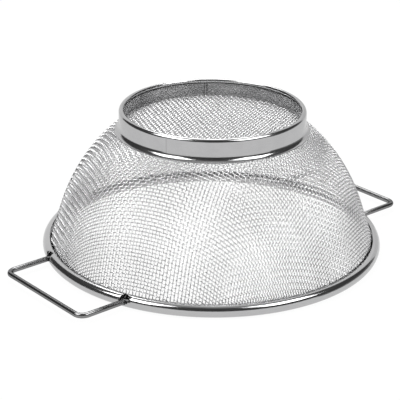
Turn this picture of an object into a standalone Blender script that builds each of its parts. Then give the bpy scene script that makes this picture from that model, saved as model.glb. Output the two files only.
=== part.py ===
"""Mesh strainer: a bowl of woven wire in a rolled rim, with a foot ring and two wire handles.

It stands as it drains dry, on its rim with the foot ring up. The origin is the centre of the
plane that the rim stands on, +Z is up, and the two handles lie along X.
"""
import math

import bmesh
import bpy
from mathutils import Matrix, Vector

MM = 0.001

# Rim: sheet rolled into a tube, with a slit that lets in the edge of the mesh
RIM_OUTER_RADIUS = 120.0 * MM
RIM_TUBE_RADIUS = 4.5 * MM
RIM_FLAT_DEPTH = 0.1 * MM
RIM_SLIT_ANGLE = math.radians(32.0)
RIM_SLIT_RECESS = 1.2 * MM
SHEET_THICKNESS = 0.8 * MM

# Stiffening hoop inside the rim
HOOP_WIRE_RADIUS = 1.5 * MM
HOOP_OFFSET = 0.5 * MM
HOOP_DROP = 0.8 * MM

# Handles: a bent wire whose legs go through notches in the rim to the hoop
HANDLE_WIRE_RADIUS = 1.85 * MM
HANDLE_REACH = 25.7 * MM
HANDLE_SPACING = 85.0 * MM
HANDLE_CORNER_RADIUS = 6.0 * MM
HANDLE_RISE = 0.5 * MM
NOTCH_RADIUS = 3.5 * MM

# Bowl of the mesh, measured on the middle of the strands
BOWL_DEPTH = 89.25 * MM
SKIRT_HEIGHT = 30.0 * MM
SKIRT_ANGLE = math.radians(18.5)
KNUCKLE_LENGTH = 3.0 * MM
MESH_EDGE_HEIGHT = 5.3 * MM

# Strands of the mesh: each stands for a group of the finer real wires
STRAND_THICKNESS = 1.0 * MM
STRAND_PITCH = 14.5 * MM
WEAVE_ANGLE = math.radians(23.6)
SNAP_SHARE = 0.32

# Foot ring: an outer band with a rolled lip and a flared skirt, and a band inside it
FOOT_RADIUS = 64.85 * MM
FOOT_RISE = 13.0 * MM
SHOULDER_RADIUS = 2.7 * MM
SHOULDER_ANGLE = math.radians(60.0)
LIP_RADIUS = 1.45 * MM
LIP_FLAT_DEPTH = 0.05 * MM
FLARE_RADIUS = 4.7 * MM
FLARE_ANGLE = math.radians(68.0)
INNER_BAND_INSET = 2.05 * MM

# Clearance between pieces that touch, and between the mesh and the slit's inner edge
CLEARANCE = 0.3 * MM
SLIT_CLEARANCE = 0.5 * MM

# Facets
RING_STEPS = 72
PROFILE_STEP = 1.0 * MM

# Places that follow from the sizes above
TUBE_CENTRE_RADIUS = RIM_OUTER_RADIUS - RIM_TUBE_RADIUS
TUBE_CENTRE_HEIGHT = RIM_TUBE_RADIUS - RIM_FLAT_DEPTH
TUBE_BORE_RADIUS = RIM_TUBE_RADIUS - SHEET_THICKNESS
TUBE_MID_RADIUS = RIM_TUBE_RADIUS - SHEET_THICKNESS / 2
HOOP_RADIUS = TUBE_CENTRE_RADIUS + HOOP_OFFSET
HOOP_HEIGHT = TUBE_CENTRE_HEIGHT - HOOP_DROP
HANDLE_HEIGHT = TUBE_CENTRE_HEIGHT + HANDLE_RISE
STRAND_HALF = STRAND_THICKNESS / 2
LIP_INSET = SHOULDER_RADIUS - (SHOULDER_RADIUS - LIP_RADIUS) * math.cos(SHOULDER_ANGLE)
LIP_CENTRE_RADIUS = FOOT_RADIUS - LIP_INSET
LIP_HEIGHT = BOWL_DEPTH + FOOT_RISE - LIP_RADIUS
INNER_BAND_RADIUS = FOOT_RADIUS - INNER_BAND_INSET


def arc(centre, radius, start, end, count):
    """Points on an arc in the (radius, height) plane, from one angle to another in degrees."""
    points = []
    for step in range(count + 1):
        angle = math.radians(start + (end - start) * step / count)
        points.append((centre[0] + radius * math.cos(angle), centre[1] + radius * math.sin(angle)))
    return points


def bowl_profile():
    """The bowl's profile from its axis to below the rim, as (radius, height) points."""
    slit = (
        TUBE_CENTRE_RADIUS - TUBE_MID_RADIUS * math.sin(RIM_SLIT_ANGLE),
        TUBE_CENTRE_HEIGHT + TUBE_MID_RADIUS * math.cos(RIM_SLIT_ANGLE),
    )
    turn = (slit[0] - (SKIRT_HEIGHT - slit[1]) * math.tan(SKIRT_ANGLE), SKIRT_HEIGHT)
    flat = (FOOT_RADIUS, BOWL_DEPTH)
    # The wall is the arc that leaves the skirt smoothly and meets the edge of the flat bottom
    span = (flat[0] - turn[0], flat[1] - turn[1])
    outward = (math.cos(SKIRT_ANGLE), math.sin(SKIRT_ANGLE))
    wall_radius = -(span[0] ** 2 + span[1] ** 2) / (2 * (span[0] * outward[0] + span[1] * outward[1]))
    centre = (turn[0] - wall_radius * outward[0], turn[1] - wall_radius * outward[1])
    flat_angle = math.atan2(flat[1] - centre[1], flat[0] - centre[0])
    start_angle = flat_angle - KNUCKLE_LENGTH / wall_radius
    wall_count = math.ceil((start_angle - SKIRT_ANGLE) * wall_radius / PROFILE_STEP)
    wall = arc(centre, wall_radius, math.degrees(start_angle), math.degrees(SKIRT_ANGLE), wall_count)

    flat_end = flat[0] - KNUCKLE_LENGTH
    flat_count = math.ceil(flat_end / PROFILE_STEP)
    points = [(flat_end * step / flat_count, BOWL_DEPTH) for step in range(flat_count + 1)]
    knuckle_count = math.ceil(2 * KNUCKLE_LENGTH / PROFILE_STEP)
    for step in range(1, knuckle_count):
        t = step / knuckle_count
        weights = ((1 - t) ** 2, 2 * t * (1 - t), t ** 2)
        corners = ((flat_end, BOWL_DEPTH), flat, wall[0])
        points.append(tuple(sum(w * c[axis] for w, c in zip(weights, corners)) for axis in (0, 1)))
    points.extend(wall)
    # The skirt runs on below the rim, so that the net can be cut at its edge
    skirt_end = -STRAND_PITCH
    skirt_count = math.ceil((SKIRT_HEIGHT - skirt_end) / PROFILE_STEP)
    for step in range(1, skirt_count + 1):
        drop = (SKIRT_HEIGHT - skirt_end) * step / skirt_count
        points.append((turn[0] + drop * math.tan(SKIRT_ANGLE), SKIRT_HEIGHT - drop))
    return points


PROFILE = bowl_profile()


def nearest_on_profile(radius, height):
    """The point of the bowl's profile that is nearest to a point of the (radius, height) plane."""
    target = Vector((radius, height))
    best = None
    for start, end in zip(PROFILE, PROFILE[1:]):
        start, end = Vector(start), Vector(end)
        along = end - start
        share = min(max((target - start).dot(along) / along.length_squared, 0.0), 1.0)
        point = start + along * share
        distance = (target - point).length_squared
        if best is None or distance < best[0]:
            best = (distance, point)
    return best[1]


def profile_height(radius):
    """Height of the bowl's profile at a radius."""
    for start, end in zip(PROFILE, PROFILE[1:]):
        if start[0] <= radius <= end[0]:
            return start[1] + (end[1] - start[1]) * (radius - start[0]) / (end[0] - start[0])
    raise ValueError("the radius lies outside the bowl")


def profile_radius(height):
    """Radius of the bowl's wall at a height."""
    for start, end in zip(PROFILE, PROFILE[1:]):
        if start[1] > height >= end[1]:
            return start[0] + (end[0] - start[0]) * (start[1] - height) / (start[1] - end[1])
    raise ValueError("the height lies outside the bowl")


def along_profile(length):
    """The point of the bowl's profile at an arc length from the axis, or None past its end."""
    travelled = 0.0
    for start, end in zip(PROFILE, PROFILE[1:]):
        start, end = Vector(start), Vector(end)
        step = (end - start).length
        if travelled + step >= length:
            return start + (end - start) * (length - travelled) / step
        travelled += step
    return None


def onto_bowl(point):
    """Move a point to the bowl, staying in its own plane through the axis."""
    radius = math.hypot(point.x, point.y)
    seat = nearest_on_profile(radius, point.z)
    return Vector((point.x * seat.x / radius, point.y * seat.x / radius, seat.y))


def fourth_corner(first, left, right):
    """Last corner of a net cell whose four sides are all one pitch long."""
    middle = (left + right) / 2
    across = (right - left).normalized()
    reach = math.sqrt(STRAND_PITCH ** 2 - (right - left).length_squared / 4)
    corner = middle + (middle - first).normalized() * reach
    for _ in range(8):
        away = onto_bowl(corner) - middle
        away -= across * away.dot(across)
        corner = middle + away.normalized() * reach
    return onto_bowl(corner)


def net_corners():
    """Corners of a square net laid on the bowl: sides keep their length and the cells shear."""
    seats = []
    while (seat := along_profile(STRAND_PITCH * len(seats))) is not None:
        seats.append(seat)
    corners = {}
    for row, seat in enumerate(seats):
        corners[row, 0] = Vector((seat.x, 0.0, seat.y))
        corners[0, row] = Vector((0.0, seat.x, seat.y))
    for row in range(1, len(seats)):
        for column in range(1, len(seats)):
            around = [corners.get(key) for key in
                      ((row - 1, column - 1), (row - 1, column), (row, column - 1))]
            if None in around or min(corner.z for corner in around[1:]) < 0.0:
                continue
            corners[row, column] = fourth_corner(*around)
    # The other three quarters are mirror images of the first
    for (row, column), corner in list(corners.items()):
        for sx, sy in ((-1, 1), (-1, -1), (1, -1)):
            corners[sx * row, sy * column] = Vector((sx * corner.x, sy * corner.y, corner.z))
    return corners


def new_collection(name):
    """Add a collection to the scene."""
    collection = bpy.data.collections.new(name)
    bpy.context.scene.collection.children.link(collection)
    return collection


def steel(name, shade, roughness):
    """Plain stainless steel."""
    material = bpy.data.materials.new(name)
    material.use_nodes = True
    shader = material.node_tree.nodes["Principled BSDF"]
    shader.inputs["Base Color"].default_value = (shade, shade, shade * 1.01, 1.0)
    shader.inputs["Metallic"].default_value = 1.0
    shader.inputs["Roughness"].default_value = roughness
    material.diffuse_color = (shade, shade, shade, 1.0)
    return material


def add_object(name, mesh, collection, material=None):
    """Add a mesh to a collection, with its material."""
    made = bpy.data.objects.new(name, mesh)
    collection.objects.link(made)
    if material:
        mesh.materials.append(material)
    return made


def turned_ring(name, section, collection, material):
    """Turn a closed (radius, height) section, which runs down its outer side, about Z."""
    mesh = bpy.data.meshes.new(name)
    vertices = [(radius, 0.0, height) for radius, height in section]
    edges = [(index, (index + 1) % len(section)) for index in range(len(section))]
    mesh.from_pydata(vertices, edges, [])
    ring = add_object(name, mesh, collection, material)
    screw = ring.modifiers.new("turn", "SCREW")
    screw.axis = "Z"
    screw.steps = RING_STEPS
    screw.render_steps = RING_STEPS
    screw.use_merge_vertices = True
    screw.merge_threshold = 0.00001
    screw.use_smooth_shade = True
    return ring


def rim_section():
    """Section of the rolled rim: a tube with a slit at its top and a flat at its foot."""
    centre = (TUBE_CENTRE_RADIUS, TUBE_CENTRE_HEIGHT)
    slit = math.degrees(RIM_SLIT_ANGLE)
    outer_edge = 90.0 + slit - math.degrees((STRAND_HALF + RIM_SLIT_RECESS) / TUBE_MID_RADIUS)
    inner_edge = 90.0 + slit + math.degrees((STRAND_HALF + SLIT_CLEARANCE) / TUBE_MID_RADIUS) - 360.0
    flat_half = math.degrees(math.acos(TUBE_CENTRE_HEIGHT / RIM_TUBE_RADIUS))
    outside = arc(centre, RIM_TUBE_RADIUS, outer_edge, -90.0 + flat_half, 8)
    inside = arc(centre, RIM_TUBE_RADIUS, -90.0 - flat_half, inner_edge, 5)
    bore = arc(centre, TUBE_BORE_RADIUS, inner_edge, outer_edge, 8)
    return outside + inside + bore


def leg_frames():
    """The four places where a leg enters the rim: (side of X, side of Y)."""
    return [(sx, sy) for sx in (1, -1) for sy in (1, -1)]


def notch_cutter(collection):
    """Four cylinders along the legs. Each clears the top of its leg and opens into the slit."""
    height = HANDLE_HEIGHT - HANDLE_WIRE_RADIUS - CLEARANCE + NOTCH_RADIUS
    bm = bmesh.new()
    for sx, sy in leg_frames():
        start = math.sqrt(HOOP_RADIUS ** 2 - (HANDLE_SPACING / 2) ** 2)
        length = HANDLE_REACH
        turn = Matrix.Rotation(math.radians(90.0), 4, "Y")
        place = Matrix.Translation((sx * (start + length / 2), sy * HANDLE_SPACING / 2, height))
        bmesh.ops.create_cone(
            bm, cap_ends=True, segments=24, radius1=NOTCH_RADIUS, radius2=NOTCH_RADIUS,
            depth=length, matrix=place @ turn)
    mesh = bpy.data.meshes.new("rim_notches")
    bm.to_mesh(mesh)
    bm.free()
    cutter = add_object("rim_notches", mesh, collection)
    cutter.hide_render = True
    cutter.display_type = "WIRE"
    return cutter


def rim_tube(collection, cutters):
    """Rolled rim, notched where the legs of the handles go in."""
    rim = turned_ring("rim_tube", rim_section(), collection, steel("rim_steel", 0.72, 0.16))
    cut = rim.modifiers.new("notches", "BOOLEAN")
    cut.operation = "DIFFERENCE"
    cut.solver = "EXACT"
    cut.object = notch_cutter(cutters)
    return rim


def rim_hoop(collection):
    """Round wire inside the rim, which the mesh's edge and the handles bear on."""
    section = arc((HOOP_RADIUS, HOOP_HEIGHT), HOOP_WIRE_RADIUS, 90.0, -270.0, 7)[:-1]
    return turned_ring("rim_hoop", section, collection, steel("hoop_steel", 0.5, 0.35))


def handle_path():
    """Centre line of one handle in its own plane, from leg end to leg end."""
    half = HANDLE_SPACING / 2
    reach = RIM_OUTER_RADIUS + HANDLE_REACH
    # The end face is square to the leg, so its inner corner comes nearest to the hoop
    hoop_face = HOOP_RADIUS + HOOP_WIRE_RADIUS + CLEARANCE
    corner = half - HANDLE_WIRE_RADIUS
    leg_start = math.sqrt(hoop_face ** 2 - corner ** 2)
    bend = HANDLE_CORNER_RADIUS
    points = [(leg_start, half), ((leg_start + reach - bend) / 2, half)]
    points += arc((reach - bend, half - bend), bend, 90.0, 0.0, 6)
    return points + [(x, -y) for x, y in reversed(points)]


def handle(name, turn, collection):
    """One wire handle, turned about Z to its side of the rim."""
    curve = bpy.data.curves.new(name, "CURVE")
    curve.dimensions = "3D"
    curve.bevel_depth = HANDLE_WIRE_RADIUS
    curve.bevel_resolution = 2
    curve.use_fill_caps = True
    points = handle_path()
    spline = curve.splines.new("POLY")
    spline.points.add(len(points) - 1)
    for slot, (x, y) in zip(spline.points, points):
        slot.co = (x, y, 0.0, 1.0)
    curve.materials.append(steel(name + "_steel", 0.42, 0.22))
    made = bpy.data.objects.new(name, curve)
    made.location.z = HANDLE_HEIGHT
    made.rotation_euler.z = turn
    collection.objects.link(made)
    return made


def foot_section():
    """Section of the foot's outer band: rolled lip, shoulder, straight wall and flared skirt."""
    lip = (LIP_CENTRE_RADIUS, LIP_HEIGHT)
    shoulder_height = LIP_HEIGHT - (SHOULDER_RADIUS - LIP_RADIUS) * math.sin(SHOULDER_ANGLE)
    shoulder = (FOOT_RADIUS - SHOULDER_RADIUS, shoulder_height)
    shoulder_end = math.degrees(SHOULDER_ANGLE)
    flat_half = math.degrees(math.acos((LIP_RADIUS - LIP_FLAT_DEPTH) / LIP_RADIUS))
    flare = math.degrees(FLARE_ANGLE)
    skirt_radius = FOOT_RADIUS + FLARE_RADIUS * (1 - math.cos(FLARE_ANGLE))
    skirt_seat = profile_height(skirt_radius - SHEET_THICKNESS * math.cos(FLARE_ANGLE))
    mesh_slope = math.atan2(
        profile_height(skirt_radius) - profile_height(skirt_radius + PROFILE_STEP), PROFILE_STEP)
    lift = (STRAND_HALF + CLEARANCE) / math.cos(mesh_slope)
    skirt_top = skirt_seat + lift + SHEET_THICKNESS * math.sin(FLARE_ANGLE)
    bend = (FOOT_RADIUS + FLARE_RADIUS, skirt_top + FLARE_RADIUS * math.sin(FLARE_ANGLE))
    wall_inside = FOOT_RADIUS - SHEET_THICKNESS
    roll_meets_wall = -math.degrees(math.acos((wall_inside - lip[0]) / LIP_RADIUS))

    section = arc(lip, LIP_RADIUS, 90.0 - flat_half, shoulder_end, 1)
    section += arc(shoulder, SHOULDER_RADIUS, shoulder_end, 0.0, 3)[1:]
    section += arc(bend, FLARE_RADIUS, 180.0, 180.0 + flare, 4)
    section += arc(bend, FLARE_RADIUS + SHEET_THICKNESS, 180.0 + flare, 180.0, 4)
    section += arc(lip, LIP_RADIUS, roll_meets_wall, -270.0 + flat_half, 6)
    return section


def foot_outer_band(collection):
    """Outer band of the foot."""
    return turned_ring("foot_outer_band", foot_section(), collection, steel("foot_steel", 0.75, 0.18))


def foot_inner_band(collection):
    """Inner band of the foot, which stands on the mesh under the rolled lip."""
    inside = INNER_BAND_RADIUS - SHEET_THICKNESS
    foot = BOWL_DEPTH + STRAND_HALF + CLEARANCE
    top = LIP_HEIGHT - LIP_RADIUS - CLEARANCE
    section = [(INNER_BAND_RADIUS, top), (INNER_BAND_RADIUS, foot), (inside, foot), (inside, top)]
    return turned_ring("foot_inner_band", section, collection, steel("band_steel", 0.6, 0.2))


def mesh_bowl(collection):
    """The woven bowl: crossing strands fused where they cross, with a hem inside the rim."""
    corners = net_corners()
    snap = SNAP_SHARE * STRAND_PITCH
    edge_radius = profile_radius(MESH_EDGE_HEIGHT)
    bm = bmesh.new()
    placed = {}
    turn = Matrix.Rotation(WEAVE_ANGLE, 3, "Z")
    for key, corner in corners.items():
        if abs(corner.z - MESH_EDGE_HEIGHT) < snap:
            stretch = edge_radius / math.hypot(corner.x, corner.y)
            corner = Vector((corner.x * stretch, corner.y * stretch, MESH_EDGE_HEIGHT))
        placed[key] = bm.verts.new(turn @ corner)
    for row, column in corners:
        cell = [placed.get(key) for key in
                ((row, column), (row + 1, column), (row + 1, column + 1), (row, column + 1))]
        if None not in cell:
            bm.faces.new(cell)
    everything = bm.verts[:] + bm.edges[:] + bm.faces[:]
    bmesh.ops.bisect_plane(
        bm, geom=everything, dist=0.00001, plane_co=(0.0, 0.0, MESH_EDGE_HEIGHT),
        plane_no=(0.0, 0.0, -1.0), clear_outer=True)
    loose = [vertex for vertex in bm.verts if not vertex.link_faces]
    bmesh.ops.delete(bm, geom=loose, context="VERTS")
    bmesh.ops.recalc_face_normals(bm, faces=bm.faces[:])
    mesh = bpy.data.meshes.new("mesh_bowl")
    bm.to_mesh(mesh)
    bm.free()
    bowl = add_object("mesh_bowl", mesh, collection, steel("mesh_steel", 0.55, 0.3))
    strands = bowl.modifiers.new("strands", "WIREFRAME")
    strands.thickness = STRAND_THICKNESS
    strands.use_even_offset = True
    strands.use_boundary = True
    strands.use_replace = True
    return bowl


def clear_scene():
    """Remove what the scene holds."""
    for item in list(bpy.data.objects):
        bpy.data.objects.remove(item, do_unlink=True)


def main():
    clear_scene()
    parts = new_collection("mesh_strainer")
    cutters = new_collection("cutters")
    mesh_bowl(parts)
    rim_tube(parts, cutters)
    rim_hoop(parts)
    handle("handle_right", 0.0, parts)
    handle("handle_left", math.pi, parts)
    foot_outer_band(parts)
    foot_inner_band(parts)


main()
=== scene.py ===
"""Looks of the mesh strainer, in a white studio.

Woven wire, a rolled rim, two wire handles and a foot ring, in the frame of the CAD.
"""
import math

import bpy
import numpy as np
from mathutils import Matrix, Vector


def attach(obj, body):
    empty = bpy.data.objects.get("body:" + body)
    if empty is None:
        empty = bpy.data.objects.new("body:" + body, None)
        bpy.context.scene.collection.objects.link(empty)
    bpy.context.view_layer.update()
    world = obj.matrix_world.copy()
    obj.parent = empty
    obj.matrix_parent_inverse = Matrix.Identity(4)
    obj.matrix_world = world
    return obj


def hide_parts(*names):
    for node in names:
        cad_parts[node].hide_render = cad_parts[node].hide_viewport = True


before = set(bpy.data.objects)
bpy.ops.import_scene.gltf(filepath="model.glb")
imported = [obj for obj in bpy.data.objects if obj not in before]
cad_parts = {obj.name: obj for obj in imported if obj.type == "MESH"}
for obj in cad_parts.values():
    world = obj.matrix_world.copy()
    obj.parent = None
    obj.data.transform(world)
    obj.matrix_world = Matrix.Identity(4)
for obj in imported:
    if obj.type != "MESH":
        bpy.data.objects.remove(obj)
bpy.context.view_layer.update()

MM = 0.001
QUARTER_TURN = math.radians(90.0)

# Rim, angles in degrees
RIM_OUTER_RADIUS = 119.9 * MM
RIM_TUBE_RADIUS = 4.4 * MM
RIM_TUBE_HEIGHT = 4.4 * MM
RIM_SHEET = 0.8 * MM
RIM_STEPS = 46
RIM_EDGE = 0.15 * MM
SLIT_OUTER_ANGLE = 98.2
SLIT_INNER_ANGLE = 136.0
NOTCH_RADIUS = 3.5 * MM
NOTCH_HEIGHT = 6.25 * MM
NOTCH_LENGTH = 26.0 * MM
NOTCH_SIDES = 48
HOOP_RADIUS = 116.0 * MM

# Handles
HANDLE_WIRE_RADIUS = 1.85 * MM
HANDLE_WIRE_SIDES = 24
HANDLE_WIRE_EDGE = 0.3 * MM
HANDLE_HEIGHT = 4.9 * MM
HANDLE_SPACING = 85.0 * MM
HANDLE_END = 110.56 * MM
HANDLE_GRIP = 145.69 * MM
HANDLE_CORNER_RADIUS = 6.0 * MM
HANDLE_CORNER_STEPS = 12

# Foot ring, angles in degrees
FOOT_RADIUS = 64.85 * MM
FOOT_SHEET = 0.6 * MM
LIP_RADIUS = 1.45 * MM
LIP_CENTRE_HEIGHT = 100.72 * MM
LIP_END_ANGLE = 250.0
LIP_STEPS = 16
LIP_SHOULDER_RADIUS = 2.7 * MM
LIP_SHOULDER_ANGLE = 60.0
LIP_SHOULDER_STEPS = 8
FLARE_RADIUS = 4.7 * MM
FLARE_ANGLE = 68.0
FLARE_CENTRE_HEIGHT = 91.5 * MM
FLARE_STEPS = 14
INNER_BAND_RADIUS = 62.8 * MM
INNER_BAND_FOOT = 89.45 * MM
INNER_BAND_TOP = 99.0 * MM
INNER_BAND_SHEET = 0.8 * MM
INNER_BAND_STEPS = 4
BAND_EDGE = 0.12 * MM

# Bowl, on the middle of the woven cloth
BOWL_DEPTH = 89.25 * MM
SLIT_POINT = (113.327 * MM, 7.877 * MM)
SKIRT_HEIGHT = 30.0 * MM
SKIRT_ANGLE = math.radians(18.5)
SHOULDER_POINT = (84.0 * MM, 69.93 * MM)
FLAT_RADIUS = 62.9 * MM
KNUCKLE_LENGTH = 2.5 * MM
CLOTH_EDGE_HEIGHT = 5.3 * MM
FLAT_STEPS = 40
KNUCKLE_STEPS = 16
CROWN_STEPS = 60
WALL_STEPS = 100
SKIRT_STEPS = 40

# Woven wire. The places of its bends are shares of the way between two crossings, and
# their heights are shares of the crimp.
WIRE_PITCH = 2.42 * MM
WIRE_RADIUS = 0.325 * MM
WIRE_BEVEL_STEPS = 1
CRIMP = 0.37 * MM
BEND_PLACES = (0.0, 0.1, 0.5, 0.9)
BEND_HEIGHTS = (1.0, 0.925, 0.0, -0.925)
WEAVE_ANGLE = math.radians(23.6)
NET_BELOW_RIM = 3 * WIRE_PITCH
LEAST_RISE = 2 * WIRE_PITCH
FEWEST_CROSSINGS = 3
SEATING_ROUNDS = 8
PIECES_PER_WAY = 4

# Modelling
RING_STEPS = 288
EDGE_SEGMENTS = 2
SHARP_ANGLE = math.radians(40.0)
SMOOTH_ANGLE = math.radians(35.0)
MERGE_DISTANCE = 0.01 * MM
TINY = 1e-9

# Finishes: soft clouds and fine drawing lines, and how they mix
CLOUD_PATTERN = {"Scale": 90.0, "Detail": 4.0, "Roughness": 0.6}
LINE_PATTERN = {"Scale": 1.0, "Detail": 3.0, "Roughness": 0.7}
CLOUD_SHARE = 0.6
LINE_SHARE = 0.4
LINE_LOW = 0.25
LINE_HIGH = 0.75
LIGHT_BLUE = 1.005
DARK_BLUE = 1.01
RELIEF_DEPTH = 0.05 * MM
SEAM_WIDTH = 0.7 * MM
INNER_SEAM_AZIMUTH = math.radians(54.0)
INNER_SEAM_SPACING = 1.9 * MM
OUTER_SEAM_AZIMUTH = math.radians(-158.6)

# Camera, in the photograph's own frame. The object's X axis lies HANDLE_AZIMUTH round
# from that frame's X axis.
HANDLE_AZIMUTH = math.radians(40.91)
CAMERA_AZIMUTH = math.radians(-90.0)
CAMERA_DISTANCE = 1.02263
CAMERA_ELEVATION = 0.430166
CAMERA_PAN = 0.00820431
CAMERA_TILT = 0.0292795
CAMERA_ROLL = 0.00739998
CAMERA_LENS = 128.2875
CAMERA_SENSOR = 36.0
CAMERA_NEAR = 0.05
CAMERA_FAR = 50.0

# Studio
WHITE = (1.0, 1.0, 1.0, 1.0)
FLOOR_SIZE = 12.0
FLOOR_PAINT = (0.95, 0.95, 0.95, 1.0)
FLOOR_GLOW = 0.95
AIR_STRENGTH = 0.5
DOME_RADIUS = 4.0
DOME_SEGMENTS = 180
DOME_RINGS = 90

# Lamps: azimuth and elevation in degrees, distance, width and height in metres, watts
LAMPS = (
    (-150.0, 49.0, 1.3, 0.74, 0.60, 8.0),
    (-30.0, 50.0, 1.3, 0.72, 0.58, 7.5),
    (98.0, 55.5, 2.5, 1.4, 0.7, 24.0),
)

# Screens: name, range of azimuth, range of elevation, both in degrees, and shade
SCREENS = (
    ("dark_room", (-225.0, 42.0), (13.0, 69.0), 0.07),
    ("dim_ceiling", (-225.0, 42.0), (69.0, 90.1), 0.4),
    ("dark_wall", (-225.0, -150.0), (-1.0, 13.0), 0.07),
    ("dark_wall_right", (-20.0, 42.0), (-1.0, 13.0), 0.2),
    ("pale_backdrop", (42.0, 90.0), (-1.0, 25.0), 0.85),
)


def deselect_all():
    """Leave edit mode and select nothing."""
    if bpy.context.mode != "OBJECT":
        bpy.ops.object.mode_set(mode="OBJECT")
    bpy.ops.object.select_all(action="DESELECT")


def pick(piece):
    """Select one piece alone and make it the active one."""
    deselect_all()
    piece.select_set(True)
    bpy.context.view_layer.objects.active = piece


def edit(piece):
    """Go into edit mode on one piece, with all of it selected."""
    pick(piece)
    bpy.ops.object.mode_set(mode="EDIT")
    bpy.ops.mesh.select_all(action="SELECT")


def apply_modifiers(piece):
    """Apply a piece's modifiers in their order."""
    pick(piece)
    for modifier in list(piece.modifiers):
        bpy.ops.object.modifier_apply(modifier=modifier.name)


def place(piece, name, material, slot, *nodes):
    """Give a finished piece its name, finish and body, in place of its nodes."""
    pick(piece)
    bpy.ops.object.transform_apply(location=True, rotation=True, scale=True)
    piece.name = name
    piece.data.name = name
    piece.data.materials.clear()
    piece.data.materials.append(material)
    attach(piece, "root")
    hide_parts(*nodes)


def arc(centre, radius, start, end, count):
    """Points on an arc of a (radius, height) profile, between two angles in degrees."""
    points = []
    for step in range(count + 1):
        angle = math.radians(start + (end - start) * step / count)
        points.append((
            centre[0] + radius * math.cos(angle), centre[1] + radius * math.sin(angle)))
    return points


def face_outward(ring, profile):
    """Turn a ring's faces to the right-hand side of its profile."""
    face = ring.data.polygons[RING_STEPS // 2]
    step_out, step_up = (end - start for start, end in zip(*profile[:2]))
    outward = Vector((face.center.x, face.center.y, 0.0)).normalized() * step_up
    outward.z = -step_out
    if face.normal.dot(outward) < 0:
        edit(ring)
        bpy.ops.mesh.flip_normals()
        bpy.ops.object.mode_set(mode="OBJECT")


def turned_sheet(profile, thickness):
    """A ring of sheet: a circle extruded along a profile, outside on the right."""
    deselect_all()
    radius, height = profile[0]
    bpy.ops.mesh.primitive_circle_add(
        vertices=RING_STEPS, radius=radius, location=(0, 0, height))
    ring = bpy.context.object
    edit(ring)
    for next_radius, next_height in profile[1:]:
        bpy.ops.mesh.extrude_region_move(
            TRANSFORM_OT_translate={"value": (0, 0, next_height - height)})
        scale = next_radius / radius
        bpy.ops.transform.resize(
            value=(scale, scale, 1), center_override=(0, 0, next_height))
        radius, height = next_radius, next_height
    bpy.ops.object.mode_set(mode="OBJECT")
    bpy.ops.object.transform_apply(location=True, rotation=True, scale=True)
    ring.data.update()
    face_outward(ring, profile)
    wall = ring.modifiers.new("wall", "SOLIDIFY")
    wall.thickness = thickness
    wall.offset = -1.0
    wall.use_even_offset = True
    apply_modifiers(ring)
    return ring


def soften_edges(piece, width):
    """Round the cut edges of a piece and shade it smooth."""
    rounding = piece.modifiers.new("edges", "BEVEL")
    rounding.width = width
    rounding.segments = EDGE_SEGMENTS
    rounding.limit_method = "ANGLE"
    rounding.angle_limit = SHARP_ANGLE
    apply_modifiers(piece)
    bpy.ops.object.shade_smooth_by_angle(angle=SMOOTH_ANGLE)


# Materials

def node(tree, kind, **inputs):
    """Add a shader node and set its inputs."""
    made = tree.nodes.new(kind)
    for name, value in inputs.items():
        made.inputs[name.replace("_", " ")].default_value = value
    return made


def calculate(tree, operation, *values):
    """Add a maths node on sockets and plain numbers, and give its result."""
    made = tree.nodes.new("ShaderNodeMath")
    made.operation = operation
    for entry, value in zip(made.inputs, values):
        if isinstance(value, float):
            entry.default_value = value
        else:
            tree.links.new(value, entry)
    return made.outputs[0]


def ring_coordinates(tree):
    """Object coordinates unrolled round Z: turn, height, distance; and the turn."""
    where = tree.nodes.new("ShaderNodeTexCoord")
    parts = tree.nodes.new("ShaderNodeSeparateXYZ")
    tree.links.new(where.outputs["Object"], parts.inputs[0])
    x, y, z = (parts.outputs[axis] for axis in "XYZ")
    turn = calculate(tree, "ARCTAN2", y, x)
    squares = [calculate(tree, "MULTIPLY", side, side) for side in (x, y)]
    distance = calculate(tree, "SQRT", calculate(tree, "ADD", *squares))
    joined = tree.nodes.new("ShaderNodeCombineXYZ")
    for axis, value in zip("XYZ", (turn, z, distance)):
        tree.links.new(value, joined.inputs[axis])
    return joined.outputs[0], turn


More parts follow.
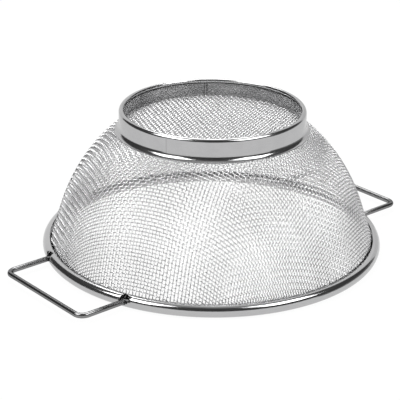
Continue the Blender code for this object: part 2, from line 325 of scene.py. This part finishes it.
def steel(name, light, dark, roughness, spread, streaks, bump, edge=1.0):
    """Stainless steel: tone and roughness vary in clouds and along fine drawing lines.

    streaks says how fast the lines change round the ring, upwards and outwards. An edge
    under 1 darkens the steel where it is seen at a glancing angle.
    """
    material = bpy.data.materials.new(name)
    material.use_nodes = True
    tree = material.node_tree
    shader = tree.nodes["Principled BSDF"]
    shader.inputs["Metallic"].default_value = 1.0
    shader.inputs["Specular Tint"].default_value = (edge, edge, edge, 1.0)

    where = tree.nodes.new("ShaderNodeTexCoord")
    cloud = node(tree, "ShaderNodeTexNoise", **CLOUD_PATTERN)
    tree.links.new(where.outputs["Object"], cloud.inputs["Vector"])
    unrolled, _ = ring_coordinates(tree)
    stretch = tree.nodes.new("ShaderNodeVectorMath")
    stretch.operation = "MULTIPLY"
    stretch.inputs[1].default_value = streaks
    tree.links.new(unrolled, stretch.inputs[0])
    lines = node(tree, "ShaderNodeTexNoise", **LINE_PATTERN)
    tree.links.new(stretch.outputs[0], lines.inputs["Vector"])

    line_part = calculate(tree, "MULTIPLY", lines.outputs["Fac"], LINE_SHARE)
    mix = calculate(tree, "MULTIPLY_ADD", cloud.outputs["Fac"], CLOUD_SHARE, line_part)
    tone = tree.nodes.new("ShaderNodeMix")
    tone.data_type = "RGBA"
    tone.inputs["A"].default_value = (dark, dark, dark * DARK_BLUE, 1.0)
    tone.inputs["B"].default_value = (light, light, light * LIGHT_BLUE, 1.0)
    tree.links.new(mix, tone.inputs["Factor"])
    tree.links.new(tone.outputs["Result"], shader.inputs["Base Color"])

    rough = node(
        tree, "ShaderNodeMapRange", From_Min=LINE_LOW, From_Max=LINE_HIGH,
        To_Min=roughness - spread, To_Max=roughness + spread)
    tree.links.new(lines.outputs["Fac"], rough.inputs["Value"])
    tree.links.new(rough.outputs["Result"], shader.inputs["Roughness"])

    relief = node(tree, "ShaderNodeBump", Strength=bump, Distance=RELIEF_DEPTH)
    tree.links.new(lines.outputs["Fac"], relief.inputs["Height"])
    tree.links.new(relief.outputs["Normal"], shader.inputs["Normal"])
    material.diffuse_color = (light, light, light, 1.0)
    return material


def weld_seam(material, azimuth, radius, spacing, shade):
    """Darken a weld's two edges down a ring, or one line where spacing is 0."""
    tree = material.node_tree
    shader = tree.nodes["Principled BSDF"]
    tone = shader.inputs["Base Color"].links[0].from_socket
    _, turn = ring_coordinates(tree)
    away = turn
    for middle in (azimuth, spacing / 2 / radius):
        away = calculate(tree, "ABSOLUTE", calculate(tree, "SUBTRACT", away, middle))
    line = node(
        tree, "ShaderNodeMapRange", From_Min=SEAM_WIDTH / 4 / radius,
        From_Max=SEAM_WIDTH / radius, To_Min=shade, To_Max=1.0)
    tree.links.new(away, line.inputs["Value"])
    darker = tree.nodes.new("ShaderNodeVectorMath")
    darker.operation = "SCALE"
    tree.links.new(tone, darker.inputs[0])
    tree.links.new(line.outputs["Result"], darker.inputs["Scale"])
    tree.links.new(darker.outputs[0], shader.inputs["Base Color"])


# Painted light: the wire's steel is painted much lighter than the other steel, for
# light and highlights on the net; its strong darkening at glancing angles is painted
# shade at the net's edges.
lit_wire_steel = steel(
    "drawn_wire_painted_light", light=0.85, dark=0.75, roughness=0.16, spread=0.04,
    streaks=(900.0, 900.0, 900.0), bump=0.1, edge=0.3)
rim_steel = steel(
    "polished_rim", light=0.51, dark=0.43, roughness=0.14, spread=0.03,
    streaks=(12.0, 2600.0, 2600.0), bump=0.12, edge=0.95)
# Painted shade: the handles' steel is painted much darker than the rim's, for the dark
# surroundings that the handles mirror.
handle_steel = steel(
    "polished_handle_wire_painted_shade", light=0.26, dark=0.21, roughness=0.19, spread=0.03,
    streaks=(500.0, 500.0, 500.0), bump=0.1, edge=0.4)
foot_steel = steel(
    "polished_foot", light=0.52, dark=0.40, roughness=0.15, spread=0.04,
    streaks=(12.0, 2600.0, 2600.0), bump=0.12, edge=0.85)
# Painted shade: the inner band's steel is painted darker than the foot's, for the shade
# inside the foot ring; its roughness is its satin finish.
band_steel = steel(
    "satin_band_painted_shade", light=0.39, dark=0.31, roughness=0.26, spread=0.05,
    streaks=(14.0, 2400.0, 2400.0), bump=0.15)
hoop_steel = steel(
    "plain_hoop_wire", light=0.5, dark=0.4, roughness=0.35, spread=0.06,
    streaks=(500.0, 500.0, 500.0), bump=0.1)
weld_seam(
    band_steel, INNER_SEAM_AZIMUTH, INNER_BAND_RADIUS, spacing=INNER_SEAM_SPACING,
    shade=0.35)
weld_seam(foot_steel, OUTER_SEAM_AZIMUTH, FOOT_RADIUS, spacing=0.0, shade=0.88)


# Rim

def cut_notches(ring):
    """Punch the four notches for the handles' legs, from the hoop outwards."""
    hoop_reach = math.sqrt(HOOP_RADIUS ** 2 - (HANDLE_SPACING / 2) ** 2)
    for side_x in (1, -1):
        for side_y in (1, -1):
            middle = (
                side_x * (hoop_reach + NOTCH_LENGTH / 2), side_y * HANDLE_SPACING / 2,
                NOTCH_HEIGHT)
            deselect_all()
            bpy.ops.mesh.primitive_cylinder_add(
                vertices=NOTCH_SIDES, radius=NOTCH_RADIUS, depth=NOTCH_LENGTH,
                location=middle, rotation=(0, QUARTER_TURN, 0))
            punch = bpy.context.object
            cut = ring.modifiers.new("notch", "BOOLEAN")
            cut.operation = "DIFFERENCE"
            cut.solver = "EXACT"
            cut.object = punch
            apply_modifiers(ring)
            bpy.data.objects.remove(punch, do_unlink=True)


tube_centre = (RIM_OUTER_RADIUS - RIM_TUBE_RADIUS, RIM_TUBE_HEIGHT)
rim_profile = [
    (radius, max(height, 0.0))
    for radius, height in arc(
        tube_centre, RIM_TUBE_RADIUS, SLIT_INNER_ANGLE - 360.0, SLIT_OUTER_ANGLE,
        RIM_STEPS)]
rim = turned_sheet(rim_profile, RIM_SHEET)
cut_notches(rim)
soften_edges(rim, RIM_EDGE)
place(rim, "rolled_rim", rim_steel, "rim_steel", "rim_tube")


# Handles

def bend_corner(side):
    """Spin the wire's end a quarter turn round the corner on one side of the grip."""
    bpy.ops.mesh.spin(
        steps=HANDLE_CORNER_STEPS, angle=QUARTER_TURN,
        center=(
            HANDLE_GRIP - HANDLE_CORNER_RADIUS,
            side * (HANDLE_SPACING / 2 - HANDLE_CORNER_RADIUS), HANDLE_HEIGHT),
        axis=(0, 0, 1))


def draw_wire(x, y):
    """Extrude the wire's end straight on."""
    bpy.ops.mesh.extrude_region_move(TRANSFORM_OT_translate={"value": (x, y, 0)})


def wire_handle():
    """One handle: a disc at a leg's end, extruded along the legs and grip."""
    leg = HANDLE_GRIP - HANDLE_CORNER_RADIUS - HANDLE_END
    grip = HANDLE_SPACING - 2 * HANDLE_CORNER_RADIUS
    deselect_all()
    bpy.ops.mesh.primitive_circle_add(
        vertices=HANDLE_WIRE_SIDES, radius=HANDLE_WIRE_RADIUS, fill_type="TRIFAN",
        location=(HANDLE_END, HANDLE_SPACING / 2, HANDLE_HEIGHT),
        rotation=(0, QUARTER_TURN, 0))
    made = bpy.context.object
    bpy.ops.object.transform_apply(location=True, rotation=True, scale=True)
    edit(made)
    draw_wire(leg, 0)
    bend_corner(1)
    draw_wire(0, -grip)
    bend_corner(-1)
    draw_wire(-leg, 0)
    bpy.ops.mesh.select_all(action="SELECT")
    bpy.ops.mesh.remove_doubles(threshold=MERGE_DISTANCE)
    bpy.ops.mesh.normals_make_consistent(inside=False)
    bpy.ops.object.mode_set(mode="OBJECT")
    soften_edges(made, HANDLE_WIRE_EDGE)
    return made


right_handle = wire_handle()
pick(right_handle)
bpy.ops.object.duplicate()
left_handle = bpy.context.object
left_handle.rotation_euler = (0, 0, math.pi)
place(right_handle, "wire_handle_right", handle_steel, "handle_steel", "handle_right")
place(left_handle, "wire_handle_left", handle_steel, "handle_steel", "handle_left")


# Foot ring

flare_centre = (FOOT_RADIUS + FLARE_RADIUS, FLARE_CENTRE_HEIGHT)
shoulder_angle = math.radians(LIP_SHOULDER_ANGLE)
shoulder_offset = LIP_SHOULDER_RADIUS - LIP_RADIUS
lip_centre = (
    FOOT_RADIUS - LIP_SHOULDER_RADIUS + shoulder_offset * math.cos(shoulder_angle),
    LIP_CENTRE_HEIGHT)
shoulder_centre = (
    FOOT_RADIUS - LIP_SHOULDER_RADIUS,
    LIP_CENTRE_HEIGHT - shoulder_offset * math.sin(shoulder_angle))
foot_profile = arc(flare_centre, FLARE_RADIUS, 180.0 + FLARE_ANGLE, 180.0, FLARE_STEPS)
foot_profile += arc(
    shoulder_centre, LIP_SHOULDER_RADIUS, 0.0, LIP_SHOULDER_ANGLE, LIP_SHOULDER_STEPS)
foot_profile += arc(
    lip_centre, LIP_RADIUS, LIP_SHOULDER_ANGLE, LIP_END_ANGLE, LIP_STEPS)[1:]
foot = turned_sheet(foot_profile, FOOT_SHEET)
soften_edges(foot, BAND_EDGE)
place(foot, "rolled_foot_band", foot_steel, "foot_steel", "foot_outer_band")

band_profile = [
    (INNER_BAND_RADIUS,
     INNER_BAND_FOOT + (INNER_BAND_TOP - INNER_BAND_FOOT) * step / INNER_BAND_STEPS)
    for step in range(INNER_BAND_STEPS + 1)]
band = turned_sheet(band_profile, INNER_BAND_SHEET)
soften_edges(band, BAND_EDGE)
place(band, "inner_foot_band", band_steel, "band_steel", "foot_inner_band")


# Woven cloth

def arc_leaving(start, outward, target):
    """Centre and radius of the arc that leaves square to a direction, to a target."""
    span = (target[0] - start[0], target[1] - start[1])
    across = span[0] * outward[0] + span[1] * outward[1]
    radius = -(span[0] ** 2 + span[1] ** 2) / (2 * across)
    return (start[0] - radius * outward[0], start[1] - radius * outward[1]), radius


def knuckle(corners):
    """Points of a soft bend from the first corner to the last, without its ends."""
    points = []
    for step in range(1, KNUCKLE_STEPS):
        t = step / KNUCKLE_STEPS
        weights = ((1 - t) ** 2, 2 * t * (1 - t), t ** 2)
        points.append(tuple(
            sum(weight * corner[axis] for weight, corner in zip(weights, corners))
            for axis in (0, 1)))
    return points


def bowl_profile():
    """The bowl's profile from its axis to below the rim: rows of radius and height."""
    turn = (
        SLIT_POINT[0] - (SKIRT_HEIGHT - SLIT_POINT[1]) * math.tan(SKIRT_ANGLE),
        SKIRT_HEIGHT)
    outward = (math.cos(SKIRT_ANGLE), math.sin(SKIRT_ANGLE))
    centre, wall_radius = arc_leaving(turn, outward, SHOULDER_POINT)
    away = (SHOULDER_POINT[0] - centre[0], SHOULDER_POINT[1] - centre[1])
    join = math.degrees(math.atan2(away[1], away[0]))
    wall = arc(centre, wall_radius, join, math.degrees(SKIRT_ANGLE), WALL_STEPS)

    flat_edge = (FLAT_RADIUS, BOWL_DEPTH)
    outward = (away[0] / wall_radius, away[1] / wall_radius)
    centre, crown_radius = arc_leaving(SHOULDER_POINT, outward, flat_edge)
    start = math.atan2(flat_edge[1] - centre[1], flat_edge[0] - centre[0])
    start -= KNUCKLE_LENGTH / crown_radius
    crown = arc(centre, crown_radius, math.degrees(start), join, CROWN_STEPS)

    flat_end = FLAT_RADIUS - KNUCKLE_LENGTH
    points = [
        (flat_end * step / FLAT_STEPS, BOWL_DEPTH) for step in range(FLAT_STEPS + 1)]
    points += knuckle(((flat_end, BOWL_DEPTH), flat_edge, crown[0]))
    points += crown[:-1] + wall
    for step in range(1, SKIRT_STEPS + 1):
        drop = (SKIRT_HEIGHT + NET_BELOW_RIM) * step / SKIRT_STEPS
        points.append((turn[0] + drop * math.tan(SKIRT_ANGLE), SKIRT_HEIGHT - drop))
    return np.array(points)


PROFILE = bowl_profile()
STARTS = PROFILE[:-1]
SPANS = PROFILE[1:] - STARTS
LENGTHS = np.linalg.norm(SPANS, axis=1)
SPAN_NORMALS = np.stack([-SPANS[:, 1], SPANS[:, 0]], axis=1) / LENGTHS[:, None]
PROFILE_NORMALS = np.concatenate(
    [SPAN_NORMALS[:1], SPAN_NORMALS[:-1] + SPAN_NORMALS[1:], SPAN_NORMALS[-1:]])
PROFILE_NORMALS /= np.linalg.norm(PROFILE_NORMALS, axis=1)[:, None]


def seat_on_bowl(points):
    """Points moved to the bowl in planes through its axis, and its normals there."""
    radius = np.hypot(points[:, 0], points[:, 1])
    flat = np.stack([radius, points[:, 2]], axis=1)
    share = ((flat[:, None] - STARTS) * SPANS).sum(axis=2) / LENGTHS ** 2
    share = np.clip(share, 0.0, 1.0)
    seats = STARTS + share[:, :, None] * SPANS
    best = ((flat[:, None] - seats) ** 2).sum(axis=2).argmin(axis=1)
    row = np.arange(len(points))
    seat = seats[row, best]
    part = share[row, best][:, None]
    normal = PROFILE_NORMALS[best] * (1 - part) + PROFILE_NORMALS[best + 1] * part
    normal /= np.linalg.norm(normal, axis=1)[:, None]
    around = points[:, :2] / np.maximum(radius, TINY)[:, None]
    seated = np.concatenate([around * seat[:, :1], seat[:, 1:]], axis=1)
    normals = np.concatenate([around * normal[:, :1], normal[:, 1:]], axis=1)
    return seated, normals


def fourth_corners(first, left, right):
    """The fourth corners of squares of cloth on the bowl, from the other three."""
    middle = (left + right) / 2
    side = right - left
    width = np.linalg.norm(side, axis=1)[:, None]
    side /= width
    reach = np.sqrt(WIRE_PITCH ** 2 - width ** 2 / 4)
    away = middle - first
    for _ in range(SEATING_ROUNDS):
        away -= side * (away * side).sum(axis=1)[:, None]
        away /= np.linalg.norm(away, axis=1)[:, None]
        seat, _ = seat_on_bowl(middle + away * reach)
        away = seat - middle
    return seat


def quarter_net():
    """Crossings of the wires: a net of equal sides laid on a quarter of the bowl."""
    travelled = np.concatenate([[0.0], np.cumsum(LENGTHS)])
    count = int(travelled[-1] / WIRE_PITCH) + 1
    along = np.arange(count) * WIRE_PITCH
    radius = np.interp(along, travelled, PROFILE[:, 0])
    height = np.interp(along, travelled, PROFILE[:, 1])
    corners = np.full((count, count, 3), np.nan)
    corners[:, 0] = np.stack([radius, 0 * along, height], axis=1)
    corners[0, :] = np.stack([0 * along, radius, height], axis=1)
    for total in range(2, 2 * count - 1):
        rows = np.arange(max(1, total - count + 1), min(count, total))
        columns = total - rows
        first = corners[rows - 1, columns - 1]
        left = corners[rows - 1, columns]
        right = corners[rows, columns - 1]
        whole = ~np.isnan(first[:, 0] + left[:, 0] + right[:, 0])
        whole &= np.fmin(left[:, 2], right[:, 2]) > 0.0
        if whole.any():
            corners[rows[whole], columns[whole]] = fourth_corners(
                first[whole], left[whole], right[whole])
    return corners


def whole_net():
    """The net over the whole bowl, mirrored from one quarter."""
    quarter = quarter_net()
    count = len(quarter)
    net = np.full((2 * count - 1, 2 * count - 1, 3), np.nan)
    for side_x, side_y in ((1, 1), (-1, 1), (-1, -1), (1, -1)):
        rows = count - 1 + side_x * np.arange(count)
        columns = count - 1 + side_y * np.arange(count)
        net[np.ix_(rows, columns)] = quarter * (side_x, side_y, 1)
    return net


def smooth_line(crossings):
    """A smooth line through a wire's crossings, with points where it bends."""
    before = np.concatenate([2 * crossings[:1] - crossings[1:2], crossings[:-1]])
    after = np.concatenate([crossings[1:], 2 * crossings[-1:] - crossings[-2:-1]])
    tangent = (after - before) / 2
    rows = []
    for t in BEND_PLACES:
        rows.append(
            (2 * t ** 3 - 3 * t ** 2 + 1) * crossings[:-1]
            + (t ** 3 - 2 * t ** 2 + t) * tangent[:-1]
            + (3 * t ** 2 - 2 * t ** 3) * crossings[1:]
            + (t ** 3 - t ** 2) * tangent[1:])
    line = np.stack(rows, axis=1).reshape(-1, 3)
    return np.concatenate([line, crossings[-1:]])


def cut_at_edge(path, heights):
    """A wire cut where the cloth under it comes down to the cloth's edge."""
    inside = np.nonzero(heights > CLOTH_EDGE_HEIGHT)[0]
    first, last = inside[0], inside[-1]
    ends = []
    for kept, dropped in ((first, first - 1), (last, last + 1)):
        end = path[kept]
        if 0 <= dropped < len(path):
            fall = heights[kept] - heights[dropped]
            share = (heights[kept] - CLOTH_EDGE_HEIGHT) / fall
            end = end + (path[dropped] - end) * share
        ends.append(end)
    return np.concatenate([[ends[0]], path[first:last + 1], [ends[1]]])


def wire_path(crossings, over):
    """One wire through its crossings: over one wire, under the next, to the edge."""
    seat, normal = seat_on_bowl(smooth_line(crossings))
    sides = over * (-1.0) ** np.arange(len(crossings))
    wave = CRIMP * np.append(np.outer(sides[:-1], BEND_HEIGHTS).ravel(), sides[-1])
    return cut_at_edge(seat + normal * wave[:, None], seat[:, 2])


def all_wires():
    """Paths of the wires both ways, each from rim to rim over the whole bowl."""
    net = whole_net()
    turn = np.array(Matrix.Rotation(WEAVE_ANGLE, 3, "Z"))
    warp, weft = [], []
    for index in range(len(net)):
        for wires, crossings, first_side in (
                (warp, net[:, index], 1), (weft, net[index, :], -1)):
            there = np.nonzero(~np.isnan(crossings[:, 0]))[0]
            if len(there) < FEWEST_CROSSINGS or np.diff(there).max() > 1:
                continue
            found = crossings[there]
            if found[:, 2].max() < CLOTH_EDGE_HEIGHT + LEAST_RISE:
                continue
            over = first_side if (index + there[0]) % 2 == 0 else -first_side
            wires.append(wire_path(found, over) @ turn.T)
    return warp, weft


def shared_out(paths):
    """Wires of one way in groups of neighbours, with about as many points in each."""
    fair_share = sum(len(path) for path in paths) / PIECES_PER_WAY
    share, groups = 0, [[]]
    for path in paths:
        if share > fair_share and len(groups) < PIECES_PER_WAY:
            groups.append([])
            share = 0
        groups[-1].append(path)
        share += len(path)
    return groups


def woven_piece(name, paths):
    """Wires as one bevelled curve, made a mesh."""
    curve = bpy.data.curves.new(name, "CURVE")
    curve.dimensions = "3D"
    curve.bevel_depth = WIRE_RADIUS
    curve.bevel_resolution = WIRE_BEVEL_STEPS
    curve.use_fill_caps = True
    for path in paths:
        spline = curve.splines.new("POLY")
        spline.points.add(len(path) - 1)
        spline.points.foreach_set(
            "co", np.column_stack([path, np.ones(len(path))]).ravel())
    made = bpy.data.objects.new(name, curve)
    bpy.context.scene.collection.objects.link(made)
    pick(made)
    bpy.ops.object.convert(target="MESH")
    made = bpy.context.object
    bpy.ops.object.shade_smooth()
    place(made, name, lit_wire_steel, "mesh_steel", "mesh_bowl")


for way, paths in zip(("warp", "weft"), all_wires()):
    for number, group in enumerate(shared_out(paths), 1):
        woven_piece(f"woven_{way}_{number}", group)


# Hidden hoop, which keeps its CAD mesh

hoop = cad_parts["rim_hoop"]
hoop.data.materials.clear()
hoop.data.materials.append(hoop_steel)


# Studio

def direction(azimuth, elevation):
    """Unit vector in the object's frame, from angles in the photograph's frame."""
    around = azimuth - HANDLE_AZIMUTH
    return Vector((
        math.cos(elevation) * math.cos(around), math.cos(elevation) * math.sin(around),
        math.sin(elevation)))


def make_camera():
    """The photograph's camera: it aims near the origin, then pans, tilts and rolls."""
    eye = direction(CAMERA_AZIMUTH, CAMERA_ELEVATION) * CAMERA_DISTANCE
    forward = -eye.normalized()
    right = direction(0.0, 0.0)
    up = right.cross(forward)
    forward -= right * math.tan(CAMERA_PAN)
    forward += up * math.tan(CAMERA_TILT)
    forward.normalize()
    level = forward.cross(Vector((0, 0, 1))).normalized()
    upright = level.cross(forward)
    right = level * math.cos(CAMERA_ROLL) + upright * math.sin(CAMERA_ROLL)
    up = upright * math.cos(CAMERA_ROLL) - level * math.sin(CAMERA_ROLL)
    axes = Matrix((right, up, -forward)).transposed().to_4x4()
    bpy.ops.object.camera_add()
    camera = bpy.context.object
    camera.matrix_world = Matrix.Translation(eye) @ axes
    camera.data.sensor_width = CAMERA_SENSOR
    camera.data.lens = CAMERA_LENS
    camera.data.clip_start = CAMERA_NEAR
    camera.data.clip_end = CAMERA_FAR
    bpy.context.scene.camera = camera


def softbox(azimuth, elevation, distance, width, height, watts):
    """A rectangular lamp that faces the object."""
    where = direction(math.radians(azimuth), math.radians(elevation)) * distance
    bpy.ops.object.light_add(type="AREA", location=where)
    lamp = bpy.context.object
    lamp.data.shape = "RECTANGLE"
    lamp.data.size = width
    lamp.data.size_y = height
    lamp.data.energy = watts
    lamp.rotation_mode = "QUATERNION"
    lamp.rotation_quaternion = where.to_track_quat("Z", "Y")
    lamp.visible_camera = False


def emptied(owner, output):
    """The nodes of a material or a world, emptied, and a new output in them."""
    owner.use_nodes = True
    tree = owner.node_tree
    tree.nodes.clear()
    return tree, tree.nodes.new(output)


def seen_or_mirrored(tree):
    """1 for what the camera sees straight or in steel, 0 for what lights a surface."""
    ray = tree.nodes.new("ShaderNodeLightPath")
    seen = calculate(
        tree, "ADD", ray.outputs["Is Camera Ray"], ray.outputs["Is Glossy Ray"])
    seen.node.use_clamp = True
    return seen


def blend(tree, share, first, second):
    """Two shaders mixed, with this share of the second."""
    both = tree.nodes.new("ShaderNodeMixShader")
    tree.links.new(share, both.inputs["Fac"])
    tree.links.new(first.outputs[0], both.inputs[1])
    tree.links.new(second.outputs[0], both.inputs[2])
    return both.outputs[0]


def glow(name, shade):
    """A plain shade that is the same under any light."""
    material = bpy.data.materials.new(name)
    tree, out = emptied(material, "ShaderNodeOutputMaterial")
    light = node(
        tree, "ShaderNodeEmission", Color=(shade, shade, shade, 1.0), Strength=1.0)
    tree.links.new(light.outputs[0], out.inputs["Surface"])
    return material


def dome_screen(name, azimuths, elevations, shade):
    """A part of a dome round the studio, which is seen only in steel."""
    deselect_all()
    bpy.ops.mesh.primitive_uv_sphere_add(
        segments=DOME_SEGMENTS, ring_count=DOME_RINGS, radius=DOME_RADIUS)
    screen = bpy.context.object
    bpy.ops.object.mode_set(mode="EDIT")
    bpy.ops.mesh.select_all(action="DESELECT")
    bpy.ops.object.mode_set(mode="OBJECT")
    for face in screen.data.polygons:
        centre = face.center.normalized()
        azimuth = math.degrees(math.atan2(centre.y, centre.x) + HANDLE_AZIMUTH)
        azimuth = (azimuth - azimuths[0]) % 360.0 + azimuths[0]
        elevation = math.degrees(math.asin(centre.z))
        face.select = not (
            azimuth < azimuths[1] and elevations[0] < elevation < elevations[1])
    bpy.ops.object.mode_set(mode="EDIT")
    bpy.ops.mesh.delete(type="FACE")
    bpy.ops.object.mode_set(mode="OBJECT")
    screen.name = name
    screen.data.materials.append(glow(name + "_cloth", shade))
    screen.visible_camera = False
    screen.visible_diffuse = False
    screen.visible_shadow = False


def white_floor():
    """A white floor that keeps a faint shadow of the object."""
    deselect_all()
    bpy.ops.mesh.primitive_plane_add(size=FLOOR_SIZE, location=(0, 0, 0))
    floor = bpy.context.object
    floor.name = "floor"
    material = bpy.data.materials.new("white_floor")
    tree, out = emptied(material, "ShaderNodeOutputMaterial")
    paint = node(tree, "ShaderNodeBsdfDiffuse", Color=FLOOR_PAINT)
    light = node(tree, "ShaderNodeEmission", Color=WHITE, Strength=1.0)
    share = calculate(tree, "MULTIPLY", seen_or_mirrored(tree), FLOOR_GLOW)
    tree.links.new(blend(tree, share, paint, light), out.inputs["Surface"])
    floor.data.materials.append(material)


def studio_air():
    """A world that is white where it is seen or mirrored, and lights softly."""
    world = bpy.data.worlds.new("studio_air")
    bpy.context.scene.world = world
    tree, out = emptied(world, "ShaderNodeOutputWorld")
    soft = node(tree, "ShaderNodeBackground", Color=WHITE, Strength=AIR_STRENGTH)
    white = node(tree, "ShaderNodeBackground", Color=WHITE, Strength=1.0)
    tree.links.new(
        blend(tree, seen_or_mirrored(tree), soft, white), out.inputs["Surface"])


make_camera()
for lamp in LAMPS:
    softbox(*lamp)
for screen in SCREENS:
    dome_screen(*screen)
white_floor()
studio_air()
bpy.context.scene.view_settings.view_transform = "Standard"
